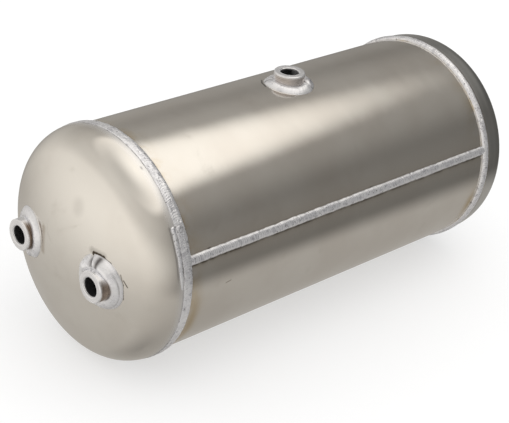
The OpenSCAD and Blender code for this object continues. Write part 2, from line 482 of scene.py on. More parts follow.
def capped(name, loops, attrs, sharp=60):
    """Closed mesh from a row of closed loops, with a flat cap at each end."""
    nu, nv = loops.shape[:2]
    faces = grid_faces(nu, nv, False, True)
    faces += [list(range(nv))[::-1], list(range((nu - 1) * nv, nu * nv))]
    ob = add_mesh(name, loops.reshape(-1, 3), faces, {k: a.reshape(-1) for k, a in attrs.items()}, sharp=sharp)
    outward(ob)
    return ob


def build_second_pass():
    n, m = 260, 16
    lo, hi = box_mm("front_girth_second_pass")
    near, far = -hi[0] - EDGE, -lo[0] - EDGE
    mid, reach = (near + far) / 2, (far - near) / 2
    a0, a1 = math.radians(4.3), math.radians(33.7)
    th = np.linspace(a0, a1, n)
    s = (th - a0) * HEAD_R
    total = s[-1]
    v = np.linspace(-1, 1, m)
    T, V = np.meshgrid(th, v, indexing="ij")
    S = (T - a0) * HEAD_R
    # tapers to nothing at the low end and ends in a round blob at the top
    env = smooth(S, 0, 16) * smooth(total - S, 0.0, 1.6)
    blob = np.exp(-((total - S - 3.6) / 3.0) ** 2)
    width = (reach - 0.35) * (0.5 + 0.42 * env + 0.08 * blob) * (1 + 0.06 * fbm1(th / 0.05, 91)[:, None])
    width = np.minimum(width, reach - 0.05)
    h = 0.88 * env * (1 - np.abs(V) ** 2.2) * (0.70 + 0.25 * blob + 0.14 * ripple(S, V, 2.2, 92))
    # it leans on the main bead
    top_x = EDGE + mid - (reach - width) * 0.6 + V * width
    past = np.clip(top_x - tangent_for(FRONT_KNUCKLE), 0, 30)
    drop = FRONT_KNUCKLE - np.sqrt(FRONT_KNUCKLE ** 2 - past ** 2)
    top_r = np.minimum(HEAD_R + h - drop - 0.10 * (np.abs(V) > 0.99), HEAD_R + 0.94)
    bx = np.stack([top_x[:, -1] - 0.1, top_x[:, 0] + 0.1], 1)
    br = np.full((n, 2), HEAD_R - 1.6)
    X, Rr = np.concatenate([top_x, bx], 1), np.concatenate([top_r, br], 1)
    loops = on_tank(-X, Rr, T[:, :1])
    toe = np.clip((np.abs(V) - 0.66) / 0.34, 0, 1)
    return capped("second_pass_bead", loops, {"toe": np.concatenate([toe, np.ones((n, 2))], 1), "groove": np.zeros((n, m + 2))})


def build_seam():
    n, m = 1180, 26
    half = EDGE - 3.6
    x = np.linspace(-half, half, n)
    v = np.linspace(-1, 1, m)
    X, V = np.meshgrid(x, v, indexing="ij")
    hw = SEAM_W / 2 * (1 + 0.055 * fbm1(x / 14.0 + 60, 31) + 0.03 * noise1(x / 3.1 + 300, 32))
    centre_line = 0.35 * fbm1(x / 45.0 + 30, 33)
    rip = ripple(X + 300, V, 2.45, 34, 0.8)
    window = np.clip(1 - np.abs(V) ** 4, 0, 1)
    height = SEAM_H * (1 + 0.07 * fbm1(x / 20.0 + 50, 35))[:, None] * np.clip(1 - np.abs(V) ** 2.6, 0, 1) ** 0.85
    calm = 0.65 + 0.35 * noise1(x / 38.0 + 50, 36)
    disp = (rip - 0.75) * 0.46 * calm[:, None] * window + 0.16 * noise2(X / 5.5 + 200, V * 2.2 + 8, 39, 512, 32) * window + 0.10 * noise2(X / 1.0 + 600, V * 9, 37, 1400, 64) * window + 0.05 * noise2(X / 0.6 + 900, V * 16, 38, 2400, 64) * window
    r = SHELL_R - 0.22 + np.minimum(height + disp, SEAM_H + 0.2)
    T = SEAM + (V * hw[:, None] + centre_line[:, None]) / SHELL_R
    base = np.stack([SEAM + (hw * 0.9 + centre_line) / SHELL_R, SEAM - (hw * 0.9 - centre_line) / SHELL_R], 1)
    TT = np.concatenate([T, base], 1)
    RR = np.concatenate([r, np.full((n, 2), SHELL_R - 1.2)], 1)
    loops = on_tank(x[:, None], RR, TT)
    # painted shade: the lower toe is darkened strongly, as if the bead shaded it, and the upper toe less; the ripple
    # valleys get painted shade too
    toe = np.clip((-V - 0.62) / 0.28, 0, 1) ** 1.3 + 0.6 * np.clip((V - 0.84) / 0.16, 0, 1)
    groove = (1 - rip) ** 2 * window
    return capped("seam_bead", loops, {"toe": np.concatenate([toe, np.ones((n, 2))], 1), "groove": np.concatenate([groove, np.zeros((n, 2))], 1)})


def build_root():
    """The ridge inside the seam."""
    n, m = 500, 12
    lo, hi = box_mm("seam_root_bead")
    x = np.linspace(lo[0] + 0.2, hi[0] - 0.2, n)
    v = np.linspace(-1, 1, m)
    X, V = np.meshgrid(x, v, indexing="ij")
    ri = SHELL_R - SHELL_T
    h = (1.0 + 0.12 * ripple(X + 300, V, 2.8, 71)) * (1 - np.abs(V) ** 2.2)
    T = SEAM + V * 2.4 / ri
    TT = np.concatenate([T, np.stack([np.full(n, SEAM + 2.0 / ri), np.full(n, SEAM - 2.0 / ri)], 1)], 1)
    RR = np.concatenate([ri - h + 0.05, np.full((n, 2), ri + 0.6)], 1)
    loops = on_tank(x[:, None], RR, TT)
    return capped("seam_root", loops, {"toe": np.zeros((n, m + 2)), "groove": np.zeros((n, m + 2))})


def build_port_weld(name, node, axis, seed, toe_r, high, features):
    """Fillet round a boss, following the wall that it is laid on.
    toe_r and high: (angle in degrees, mm) stations of the toe's radius and of the height on the boss.
    features: list of (kind, angle in degrees, across 0 to 1, size in mm, height in mm)."""
    c = centre(node)
    axis = np.array(axis, float)
    side = np.array([0.0, 1.0, 0.0])
    other = np.cross(axis, side)
    n, m = 420, 30
    phi = np.linspace(0, 2 * math.pi, n, endpoint=False)
    u = np.linspace(0, 1, m)
    P, U = np.meshgrid(phi, u, indexing="ij")
    f = phi / (2 * math.pi)
    degrees = np.degrees(phi)

    def round_trip(stations):
        a = np.array([q[0] % 360 for q in stations], float)
        order = np.argsort(a)
        a, r = a[order], np.array([q[1] for q in stations], float)[order]
        raw = np.interp(degrees, np.concatenate([a - 360, a, a + 360]), np.tile(r, 3))
        kernel = np.hanning(41) / np.hanning(41).sum()
        return np.convolve(np.tile(raw, 3), kernel, "same")[n:2 * n]

    outer, tall = round_trip(toe_r), round_trip(high)
    reach = float(np.mean(outer)) - BOSS_R
    leg = (outer - BOSS_R) * (0.98 + 0.035 * fbm1(f * 7, seed, 7) + 0.015 * noise1(f * 20, seed + 1, 20))
    heights = np.array([(0.0, 1.0), (0.12, 1.06), (0.3, 1.08), (0.5, 0.98), (0.7, 0.72), (0.86, 0.40), (0.96, 0.13), (1.0, -0.03)])
    hs = np.interp(U, heights[:, 0], heights[:, 1])
    hs = (hs + np.interp(np.clip(U - 0.03, 0, 1), heights[:, 0], heights[:, 1]) + np.interp(np.clip(U + 0.03, 0, 1), heights[:, 0], heights[:, 1])) / 3
    tall = tall * (1 + 0.04 * fbm1(f * 6, seed + 2, 6) + 0.02 * noise1(f * 18, seed + 3, 18))
    count = round(2 * math.pi * (BOSS_R + 6) / 3.3)
    jitter = 0.5 * noise1(f * 18, seed + 4, 18) + 0.2 * noise1(f * 60, seed + 5, 60)
    phase = f[:, None] * count + jitter[:, None] + 0.9 * (2 * U - 1) ** 2
    rip = np.abs(np.sin(math.pi * phase)) ** 0.65
    window = np.clip(1 - np.abs(2 * U - 1) ** 5, 0, 1)
    h = hs * tall[:, None] + (rip - 0.75) * 0.05 * window + 0.16 * noise2(f[:, None] * 26, U * 2.5, seed + 8, 26, 16) * window + 0.10 * noise2(f[:, None] * 90, U * 5, seed + 7, 90, 64) * window
    rho = BOSS_R - 0.05 + U * leg[:, None]
    dark = np.zeros_like(h)
    # painted shade in the valleys of the ripples
    grey = 0.12 * (1 - rip) ** 2 * window
    for kind, ang, across, size, height in features:
        ds = wrap(P - math.radians(ang)) * (BOSS_R + across * reach)
        du = (U - across) * reach
        prof = np.exp(-(ds / size) ** 2)
        if kind == "blob":
            # a drop of metal that froze apart from the rest
            d2 = (ds ** 2 + du ** 2) / size ** 2
            h = h + height * np.clip(1 - d2, 0, 1) ** 0.5
            # painted shade in a thin ring round the drop's foot, and a painted grey reflection in its middle
            dark += 0.55 * np.exp(-(np.sqrt(d2) - 1.03) ** 2 / 0.006)
            grey = grey + 0.85 * np.exp(-(d2 / 0.45) ** 2)
        elif kind == "notch":
            h = h - height * prof * window
            # painted shade in the notch
            dark += 0.9 * np.exp(-(ds / (size * 0.7)) ** 2) * smooth(U, 0.02, 0.2) * smooth(1 - U, 0.0, 0.1)
        elif kind == "lobe":
            h = h + height * prof * smooth(U, 0, 0.25) * smooth(1 - U, 0.0, 0.30)
        elif kind == "thin":
            rho = rho - prof * height * U
        elif kind == "crevice":
            # painted shade in the crevice against the boss
            dark += height * prof * np.clip(1 - U / across, 0, 1) ** 0.7
        elif kind == "lap":
            # a fine line where one run lies over another
            g = np.exp(-((U - across) / 0.035) ** 2) * np.exp(-(wrap(P - math.radians(ang)) / math.radians(size)) ** 4)
            h = h - height * g
            dark += 0.5 * g
    top = np.stack([rho * np.cos(P), rho * np.sin(P)], -1)

    def surface(a, b):
        """Height of the wall along axis, at side offset a and other offset b from the boss's axis."""
        pos = c[None, None] + a[..., None] * side + b[..., None] * other
        if abs(axis[0]) > 0.5:
            rr = pos[..., 1] ** 2 + pos[..., 2] ** 2
            return CROWN_CX + np.sqrt(CROWN_R ** 2 - rr)
        return np.sqrt(SHELL_R ** 2 - pos[..., 1] ** 2)

    k = int(np.argmax(np.abs(axis)))
    base = surface(top[..., 0], top[..., 1])
    level = base + h - 0.05
    face = box_mm(node)[1][k] if axis[k] > 0 else -box_mm(node)[0][k]
    level = np.minimum(level, face - 2.0)
    rb = np.stack([rho[:, -1] - 0.9, np.full(n, BOSS_R - 0.4)], 1)
    bot = np.stack([rb * np.cos(P[:, :1]), rb * np.sin(P[:, :1])], -1)
    lb = surface(bot[..., 0], bot[..., 1]) - 1.0
    A = np.concatenate([top[..., 0], bot[..., 0]], 1)
    B = np.concatenate([top[..., 1], bot[..., 1]], 1)
    L = np.concatenate([level, lb], 1)
    origin = c.copy()
    origin[k] = 0
    verts = origin[None, None] + A[..., None] * side + B[..., None] * other + L[..., None] * axis
    # the outer toe is darkened a little, and the corner against the boss more, as painted shade
    toe = 0.35 * np.clip((U - 0.94) / 0.06, 0, 1) + 0.5 * np.clip((0.05 - U) / 0.05, 0, 1)
    pad = np.ones((n, 2))
    attrs = {"toe": np.concatenate([np.clip(toe + dark, 0, 1), pad], 1), "groove": np.concatenate([np.clip(grey, 0, 1), pad * 0], 1)}
    ob = add_mesh(name, verts.reshape(-1, 3), grid_faces(n, m + 2, True, True), {q: a.reshape(-1) for q, a in attrs.items()}, sharp=60)
    outward(ob)
    return ob


# ---------------------------------------------------------------- node helpers


class Tree:
    def __init__(self, tree):
        self.t = tree

    def put(self, value, socket):
        if isinstance(value, bpy.types.NodeSocket):
            self.t.links.new(value, socket)
        else:
            socket.default_value = value

    def node(self, kind, **settings):
        n = self.t.nodes.new(kind)
        for k, v in settings.items():
            setattr(n, k, v)
        return n

    def math(self, op, a, b=None, c=None, clamp=False):
        n = self.node("ShaderNodeMath", operation=op, use_clamp=clamp)
        for i, x in enumerate((a, b, c)):
            if x is not None:
                self.put(x, n.inputs[i])
        return n.outputs[0]

    def vec(self, x, y, z):
        n = self.node("ShaderNodeCombineXYZ")
        for i, s in enumerate((x, y, z)):
            self.put(s, n.inputs[i])
        return n.outputs[0]

    def scaled(self, v, s):
        n = self.node("ShaderNodeVectorMath", operation="MULTIPLY")
        self.put(v, n.inputs[0])
        n.inputs[1].default_value = s
        return n.outputs[0]

    def mix(self, f, a, b, blend="MIX"):
        n = self.node("ShaderNodeMix", data_type="RGBA", blend_type=blend, clamp_factor=True)
        self.put(f, n.inputs[0])
        self.put(a, n.inputs[6])
        self.put(b, n.inputs[7])
        return n.outputs[2]

    def mixf(self, f, a, b):
        n = self.node("ShaderNodeMix", data_type="FLOAT", clamp_factor=True)
        self.put(f, n.inputs[0])
        self.put(a, n.inputs[2])
        self.put(b, n.inputs[3])
        return n.outputs[0]

    def noise(self, v, scale, detail=3.0, rough=0.5, dist=0.0):
        n = self.node("ShaderNodeTexNoise")
        self.put(v, n.inputs["Vector"])
        n.inputs["Scale"].default_value = scale
        n.inputs["Detail"].default_value = detail
        n.inputs["Roughness"].default_value = rough
        n.inputs["Distortion"].default_value = dist
        return n.outputs["Fac"]

    def span(self, x, a, b, to_a=0.0, to_b=1.0, soft=True):
        n = self.node("ShaderNodeMapRange", interpolation_type="SMOOTHSTEP" if soft else "LINEAR", clamp=True)
        for i, s in enumerate((x, a, b, to_a, to_b)):
            self.put(s, n.inputs[i])
        return n.outputs[0]

    def attr(self, name):
        return self.node("ShaderNodeAttribute", attribute_name=name).outputs["Fac"]

    def bump(self, height, distance, strength, normal=None):
        n = self.node("ShaderNodeBump")
        n.inputs["Strength"].default_value = strength
        n.inputs["Distance"].default_value = distance
        self.put(height, n.inputs["Height"])
        if normal is not None:
            self.put(normal, n.inputs["Normal"])
        return n.outputs["Normal"]

    def stroke(self, u, v, a, b, w0, w1):
        """1 on the line from a to b, in mm in the plane u, v, fading out from w0 to w1 beside it."""
        dx, dy = b[0] - a[0], b[1] - a[1]
        p, q = self.math("SUBTRACT", u, a[0] * MM), self.math("SUBTRACT", v, a[1] * MM)
        dot = self.math("ADD", self.math("MULTIPLY", p, dx), self.math("MULTIPLY", q, dy))
        h = self.math("DIVIDE", dot, (dx * dx + dy * dy) * MM, clamp=True)
        e = self.math("SUBTRACT", p, self.math("MULTIPLY", h, dx * MM))
        f = self.math("SUBTRACT", q, self.math("MULTIPLY", h, dy * MM))
        d = self.math("SQRT", self.math("ADD", self.math("MULTIPLY", e, e), self.math("MULTIPLY", f, f)))
        return self.span(d, w0 * MM, w1 * MM, 1.0, 0.0)

    def gauss(self, x, at, width):
        d = self.math("DIVIDE", self.math("SUBTRACT", x, at), width)
        return self.math("EXPONENT", self.math("MULTIPLY", self.math("MULTIPLY", d, d), -1.0))


def new_material(name):
    m = bpy.data.materials.new(name)
    m.use_nodes = True
    t = Tree(m.node_tree)
    p = m.node_tree.nodes["Principled BSDF"]
    return m, t, p


# ---------------------------------------------------------------- materials


def sheet_material(name, kind):
    """Mill-finish aluminium sheet: rolling grain, smudges, scratches and heat tint beside the welds, with painted
    shade, shadow, highlight and reflection beside some welds and ports, and a painted darker grey on the rear head.
    """
    m, t, p = new_material(name)
    co = t.node("ShaderNodeTexCoord").outputs["Object"]
    sep = t.node("ShaderNodeSeparateXYZ")
    t.put(co, sep.inputs[0])
    x, y, z = sep.outputs
    if kind == "shell":
        grain_v = t.scaled(co, (900.0, 60.0, 60.0))
        brush_v = t.scaled(co, (120.0, 12.0, 12.0))
    else:
        # the crown was pressed from rolled sheet, so its grain runs straight
        grain_v = t.scaled(co, (40.0, 900.0, 60.0))
        brush_v = t.scaled(co, (12.0, 120.0, 14.0))
    grain = t.noise(grain_v, 1.0, 2.0, 0.6)
    brush = t.noise(brush_v, 1.0, 3.0, 0.55)
    speck = t.noise(co, 700.0, 2.0, 0.5)
    cloud = t.noise(co, 9.0, 4.0, 0.55)
    smudge = t.noise(co, 26.0, 5.0, 0.6, 0.6)
    base = t.mix(t.span(cloud, 0.35, 0.65), (0.82, 0.79, 0.745, 1), (0.88, 0.86, 0.82, 1))
    base = t.mix(t.math("MULTIPLY", t.span(smudge, 0.60, 0.80), 0.6), base, (0.74, 0.71, 0.66, 1))
    base = t.mix(t.math("MULTIPLY", t.span(speck, 0.66, 0.80), 0.18), base, (0.55, 0.53, 0.50, 1))
    ax = t.math("ABSOLUTE", x)
    ang = t.math("ARCTAN2", z, t.math("MULTIPLY", y, -1.0))
    if kind == "shell":
        # heat tint and soot beside the girth welds
        d = t.math("SUBTRACT", (EDGE - TOE) * MM, ax)
        heat = t.math("EXPONENT", t.math("MULTIPLY", d, -1 / 0.008))
        blot = t.span(t.noise(co, 34.0, 3.0, 0.6), 0.42, 0.66)
        base = t.mix(t.math("MULTIPLY", t.math("MULTIPLY", heat, blot), 0.70, clamp=True), base, (0.70, 0.56, 0.34, 1))
        line = t.math("EXPONENT", t.math("MULTIPLY", t.math("ABSOLUTE", d), -1 / 0.0007))
        front = t.span(x, -0.05, 0.05, 0.55, 0.12)
        base = t.mix(t.math("MULTIPLY", line, front, clamp=True), base, (0.14, 0.12, 0.10, 1))
        # distance along the sheet from the seam, for the painted shade beside its bead: a dark line just under the
        # bead, stronger toward the tank's ends, and a faint one just above it
        arc = t.math("MULTIPLY", t.math("SUBTRACT", ang, SEAM), SHELL_R * MM)
        ends = t.span(ax, 0.15, 0.22, 0.55, 1.0)
        low = t.math("EXPONENT", t.math("MULTIPLY", t.math("ABSOLUTE", t.math("ADD", arc, (SEAM_W / 2 + 0.35) * MM)), -1 / 0.0013))
        high = t.math("EXPONENT", t.math("MULTIPLY", t.math("ABSOLUTE", t.math("SUBTRACT", arc, (SEAM_W / 2 + 0.2) * MM)), -1 / 0.0006))
        vary = t.span(t.noise(t.scaled(co, (60.0, 10.0, 10.0)), 1.0, 2.0, 0.6), 0.35, 0.65, 0.35, 1.0)
        seam_painted_shade = t.math("MULTIPLY", t.math("ADD", t.math("MULTIPLY", t.math("MULTIPLY", low, ends), 1.8), t.math("MULTIPLY", high, 0.30)), vary, clamp=True)
        # painted shade: the sheet is darkened along the seam bead's toes, as if the bead shaded it
        base = t.mix(seam_painted_shade, base, (0.10, 0.085, 0.07, 1))
        for sx in (-0.2005, 0.033):
            spot = t.math("MULTIPLY", t.gauss(x, sx, 0.0022), t.gauss(arc, (SEAM_W / 2 + 0.4) * MM, 0.0009))
            base = t.mix(spot, base, (0.06, 0.05, 0.045, 1))
        tint = t.gauss(arc, 0.0, 0.013)
        base = t.mix(t.math("MULTIPLY", tint, 0.20, clamp=True), base, (0.72, 0.62, 0.48, 1))
        # brown heat tint low on the shell beside both girth welds, and one short scratch
        low1 = t.math("MULTIPLY", t.gauss(x, -0.217, 0.007), t.gauss(ang, math.radians(-22), 0.30))
        low2 = t.math("MULTIPLY", t.gauss(x, 0.219, 0.006), t.gauss(ang, math.radians(-17), 0.16))
        base = t.mix(t.math("MULTIPLY", t.math("ADD", low1, low2), 0.75, clamp=True), base, (0.58, 0.45, 0.25, 1))
        above = t.span(z, 0.10, 0.11)
        for a, b in (((-9.5, 24.0), (-17.0, 15.5)), ((-17.0, 15.5), (-21.5, 5.0))):
            base = t.mix(t.math("MULTIPLY", t.math("MULTIPLY", t.stroke(x, y, a, b, 0.3, 1.3), 0.8), above), base, (0.10, 0.09, 0.085, 1))
        along = t.math("MULTIPLY", ang, SHELL_R * MM)
        base = t.mix(t.math("MULTIPLY", t.stroke(x, along, (-179.0, -4.5), (-172.5, -3.6), 0.2, 0.8), 0.6), base, (0.25, 0.20, 0.14, 1))
    else:
        toe = FRONT_W - TOE if kind == "front" else REAR_W - TOE
        d = t.math("SUBTRACT", ax, (EDGE + toe) * MM)
        reach = 0.0008 if kind == "front" else 0.0022
        line = t.math("EXPONENT", t.math("MULTIPLY", t.math("ABSOLUTE", d), -1 / reach))
        vary = t.span(t.noise(co, 55.0, 2.0, 0.6), 0.35, 0.65, 0.35, 1.0)
        base = t.mix(t.math("MULTIPLY", t.math("MULTIPLY", line, vary), 0.75, clamp=True), base, (0.10, 0.09, 0.08, 1))
    if kind == "front":
        # beside the second pass
        d2 = t.math("SUBTRACT", ax, (EDGE + 13.4) * MM)
        line2 = t.math("EXPONENT", t.math("MULTIPLY", t.math("ABSOLUTE", d2), -1 / 0.0007))
        here = t.math("MULTIPLY", t.span(ang, math.radians(7), math.radians(12)), t.span(ang, math.radians(33), math.radians(35), 1.0, 0.0))
        base = t.mix(t.math("MULTIPLY", t.math("MULTIPLY", line2, here), 0.8, clamp=True), base, (0.12, 0.10, 0.09, 1))
        dot = t.math("MULTIPLY", t.gauss(x, -0.2419, 0.0010), t.gauss(ang, math.radians(63.4), 0.016))
        base = t.mix(dot, base, (0.08, 0.07, 0.07, 1))
        # painted shadow in the gap over the right port's weld (the first three strokes), tool marks beside it, and a
        # faint smudge higher up
        ragged = t.math("MULTIPLY", t.math("SUBTRACT", t.noise(co, 500.0, 2.0, 0.6), 0.5), 0.0016)
        yr, zr = t.math("ADD", y, ragged), t.math("ADD", z, ragged)
        painted_shadow_and_marks = [((-49.0, 28.8), (-60.0, 28.4), 1.8, 3.1, 0.97), ((-58.0, 28.4), (-68.4, 25.2), 1.1, 2.2, 0.93), ((-46.0, 31.0), (-60.0, 30.0), 1.0, 5.5, 0.30),
                 ((-81.0, 17.5), (-84.5, 8.0), 0.3, 1.1, 0.55), ((-84.5, 8.0), (-85.6, -8.3), 0.3, 1.0, 0.70),
                 ((-84.6, 12.6), (-89.2, 6.8), 0.3, 0.9, 0.80), ((-17.0, 66.0), (-18.0, 63.0), 1.0, 12.0, 0.13)]
        for a, b, w0, w1, strength in painted_shadow_and_marks:
            base = t.mix(t.math("MULTIPLY", t.stroke(yr, zr, a, b, w0, w1), strength), base, (0.06, 0.045, 0.03, 1))
        # painted highlight: the flange beside the weld is whitened, standing in for the light it reflects there; the
        # roughness below also makes it duller there
        flange_painted_highlight = t.span(ax, (EDGE + 6) * MM, (EDGE + 17) * MM, 0.85, 0.0)
        base = t.mix(flange_painted_highlight, base, (0.95, 0.955, 0.97, 1))
        # painted reflection: a soft brown patch on the head beside the left port's weld, standing in for the boss's
        # dark wall reflected there
        bloom = t.stroke(yr, zr, (29.0, 21.0), (28.0, -4.0), 1.0, 6.0)
        base = t.mix(t.math("MULTIPLY", bloom, 0.5), base, (0.40, 0.33, 0.25, 1))
    t.put(base, p.inputs["Base Color"])
    rough = t.math("ADD", t.span(cloud, 0.3, 0.7, 0.105, 0.135), t.math("MULTIPLY", t.span(smudge, 0.5, 0.8), 0.05))
    rough = t.math("ADD", rough, t.math("MULTIPLY", t.math("SUBTRACT", brush, 0.5), 0.05))
    if kind == "front":
        rough = t.math("ADD", rough, t.span(ax, (EDGE + 6) * MM, (EDGE + 18) * MM, 0.28, 0.0))
    if kind == "rear":
        # painted shade: the rear head, from just past its flange edge, is mixed toward a darker grey, standing in for
        # the darker surroundings it reflects
        grey = t.math("MULTIPLY", t.span(ax, (EDGE + 3) * MM, (EDGE + 5) * MM), t.span(t.noise(co, 18.0, 3.0, 0.6), 0.3, 0.7, 0.55, 0.95))
        rear_painted_shade_base = t.mix(grey, base, (0.60, 0.62, 0.63, 1))
        t.put(rear_painted_shade_base, p.inputs["Base Color"])
    t.put(rough, p.inputs["Roughness"])
    p.inputs["Metallic"].default_value = 1.0
    n1 = t.bump(t.noise(co, 11.0, 2.0, 0.5), 0.0010, 0.20)
    n2 = t.bump(brush, 0.00004, 0.18, n1)
    n3 = t.bump(grain, 0.00001, 0.30, n2)
    t.put(n3, p.inputs["Normal"])
    return m


def bead_material(name, white=0.5):
    """Weld metal: bright, finely rippled, with oxide bloom, soot at the toes and small dark pits, plus painted shade in
    the ripple valleys, at the seam's lower toe, in notches and crevices and round drops, and a painted grey reflection
    in the middle of drops.
    """
    m, t, p = new_material(name)
    co = t.node("ShaderNodeTexCoord").outputs["Object"]
    bloom = t.noise(co, 60.0, 4.0, 0.6)
    fine = t.noise(co, 900.0, 3.0, 0.6)
    pits = t.noise(co, 420.0, 2.0, 0.5, 0.4)
    blot = t.noise(co, 210.0, 3.0, 0.6)
    base = t.mix(t.span(bloom, 0.35, 0.65), (0.86, 0.865, 0.90, 1), (0.96, 0.965, 0.985, 1))
    base = t.mix(t.math("MULTIPLY", t.span(blot, 0.50, 0.66), 0.55 * white), base, (0.50, 0.50, 0.54, 1))
    base = t.mix(t.math("MULTIPLY", t.span(pits, 0.64, 0.73), 0.9 * white), base, (0.22, 0.21, 0.21, 1))
    # painted shade in the ripple valleys, and the painted grey reflection in the middle of drops
    base = t.mix(t.math("MULTIPLY", t.attr("groove"), 0.80, clamp=True), base, (0.33, 0.33, 0.36, 1))
    vary = t.span(t.noise(co, 70.0, 3.0, 0.6), 0.35, 0.62, 0.45, 1.0)
    # soot at the toes, dark laps and craters, with painted shade at the seam's lower toe, in notches and crevices and
    # round drops
    base = t.mix(t.math("MULTIPLY", t.attr("toe"), vary, clamp=True), base, (0.07, 0.06, 0.055, 1))
    t.put(base, p.inputs["Base Color"])
    t.put(t.math("ADD", t.span(bloom, 0.3, 0.7, 0.22, 0.34), t.math("MULTIPLY", fine, 0.08)), p.inputs["Roughness"])
    p.inputs["Metallic"].default_value = 0.80
    n1 = t.bump(t.noise(co, 500.0, 3.0, 0.6), 0.00025, 0.5)
    n2 = t.bump(fine, 0.00006, 0.4, n1)
    t.put(n2, p.inputs["Normal"])
    return m


def boss_material(name, node, tint, shade_dir, streak, lit=None):
    """Turned aluminium: fine rings from the lathe, a thread coloured near-black as painted shade, and painted brown
    shade low on one side of the wall.
    The fourth argument is the side of the wall that gets the painted shade."""
    m, t, p = new_material(name)
    co = t.node("ShaderNodeTexCoord").outputs["Object"]
    rad, dep, bore = t.attr("rad"), t.attr("dep"), t.attr("bore")
    ring = t.noise(t.vec(t.math("MULTIPLY", rad, 70.0), t.math("MULTIPLY", dep, 60.0), 0.3), 1.0, 3.0, 0.6)
    cloud = t.noise(co, 90.0, 3.0, 0.6)
    base = t.mix(t.span(cloud, 0.35, 0.65), (0.89, 0.89, 0.91, 1), (0.95, 0.95, 0.97, 1))
    c = centre(node)
    off = t.node("ShaderNodeVectorMath", operation="SUBTRACT")
    t.put(co, off.inputs[0])
    off.inputs[1].default_value = [v * MM for v in c]
    dot = t.node("ShaderNodeVectorMath", operation="DOT_PRODUCT")
    t.put(off.outputs[0], dot.inputs[0])
    dot.inputs[1].default_value = [v / (BOSS_R * MM) for v in shade_dir]
    wall = t.span(rad, (BOSS_R - CHAMFER - 0.1) / 10, (BOSS_R - 0.1) / 10)
    # painted shade: brown low on the wall, on the side toward the given direction
    boss_side_shade = t.math("MULTIPLY", t.span(dot.outputs["Value"], -0.1, 0.5), wall)
    boss_side_shade = t.math("MULTIPLY", t.math("MULTIPLY", boss_side_shade, t.span(dep, 0.10, 0.35)), tint, clamp=True)
    base = t.mix(boss_side_shade, base, (0.26, 0.18, 0.12, 1))
    # dark bands that follow the weld, laid only inside that painted shade
    band = t.noise(t.vec(t.math("MULTIPLY", dep, 9.0), t.math("MULTIPLY", rad, 3.0), t.math("MULTIPLY", cloud, 1.2)), 1.0, 3.0, 0.6)
    base = t.mix(t.math("MULTIPLY", t.math("MULTIPLY", t.span(band, 0.50, 0.66), boss_side_shade), streak, clamp=True), base, (0.015, 0.010, 0.006, 1))
    # painted shade: the thread is coloured near-black, as shade deep in the bore
    bore_painted_tone = (0.012, 0.012, 0.013, 1)
    if lit:
        # painted light: the side of the bore that faces the light is coloured a lighter grey
        dot2 = t.node("ShaderNodeVectorMath", operation="DOT_PRODUCT")
        t.put(off.outputs[0], dot2.inputs[0])
        dot2.inputs[1].default_value = [v / (BORE_R * MM) for v in lit]
        bore_painted_tone = t.mix(t.math("MULTIPLY", t.span(dot2.outputs["Value"], 0.70, 0.97), 0.9), bore_painted_tone, (0.28, 0.28, 0.29, 1))
    base = t.mix(t.math("MULTIPLY", bore, 0.97), base, bore_painted_tone)
    t.put(base, p.inputs["Base Color"])
    t.put(t.math("ADD", t.span(cloud, 0.3, 0.7, 0.20, 0.30), t.math("MULTIPLY", bore, 0.25)), p.inputs["Roughness"])
    p.inputs["Metallic"].default_value = 0.8
    t.put(t.bump(ring, 0.00004, 0.5), p.inputs["Normal"])
    return m


# ---------------------------------------------------------------- camera

cam_data = bpy.data.cameras.new("camera")
cam = bpy.data.objects.new("camera", cam_data)
scene.collection.objects.link(cam)
right = Vector((0.73783403, -0.66882756, 0.09094304))
up = Vector((0.28344921, 0.42929608, 0.85753217))
back = right.cross(up)
rot = Matrix((right, up, back)).transposed().to_4x4()
cam.matrix_world = Matrix.Translation(Vector((-0.982495, -0.920527, 0.694892))) @ rot
cam_data.sensor_fit = "HORIZONTAL"
cam_data.sensor_width = 36.0
cam_data.lens = 1336.82 * 36.0 / 509.0
cam_data.shift_x = 0.0473
cam_data.shift_y = 0.0814
cam_data.clip_start = 0.05
cam_data.clip_end = 60.0
scene.camera = cam

# ---------------------------------------------------------------- build

PIECES = []


def piece(ob, node, material):
    ob.data.materials.clear()
    ob.data.materials.append(material)
    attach(ob, "root")
    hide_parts(node)
    PIECES.append(ob)
    return ob


shell_mat = sheet_material("shell_aluminium", "shell")
front_mat = sheet_material("front_head_aluminium", "front")
rear_mat = sheet_material("rear_head_aluminium", "rear")
bead_mat = bead_material("weld_bead", 1.0)
port_bead_mat = bead_material("port_weld_bead", 0.35)
left_boss_mat = boss_material("left_turned_boss", "left_port_boss", 0.95, (0, -1, -0.2), 1.0)
right_boss_mat = boss_material("right_turned_boss", "right_port_boss", 0.85, (0, -0.75, -0.65), 0.7)
top_boss_mat = boss_material("top_turned_boss", "top_port_boss", 0.55, (-0.5, -0.8, 0), 0.5, (0.95, -0.1, 0))

LEFT_PORT = [("blob", 97, 0.70, 3.4, 1.6), ("notch", 112, 0.5, 1.6, 1.4), ("notch", 84, 0.6, 1.2, 0.8), ("crevice", 180, 0.25, 22, 0.6)]
RIGHT_PORT = [("lobe", -42, 0.6, 7.5, 1.6), ("notch", -66, 0.5, 2.0, 3.4), ("notch", -88, 0.05, 3.0, 0.8),
              ("crevice", -172, 0.16, 12, 0.7), ("crevice", 150, 0.14, 8, 0.5), ("lap", 176, 0.80, 60, 0.35), ("lobe", -128, 0.5, 11.0, 0.6)]
TOP_PORT = [("blob", 225, 0.50, 6.6, 2.0), ("notch", 57, 0.9, 2.2, 0.7)]

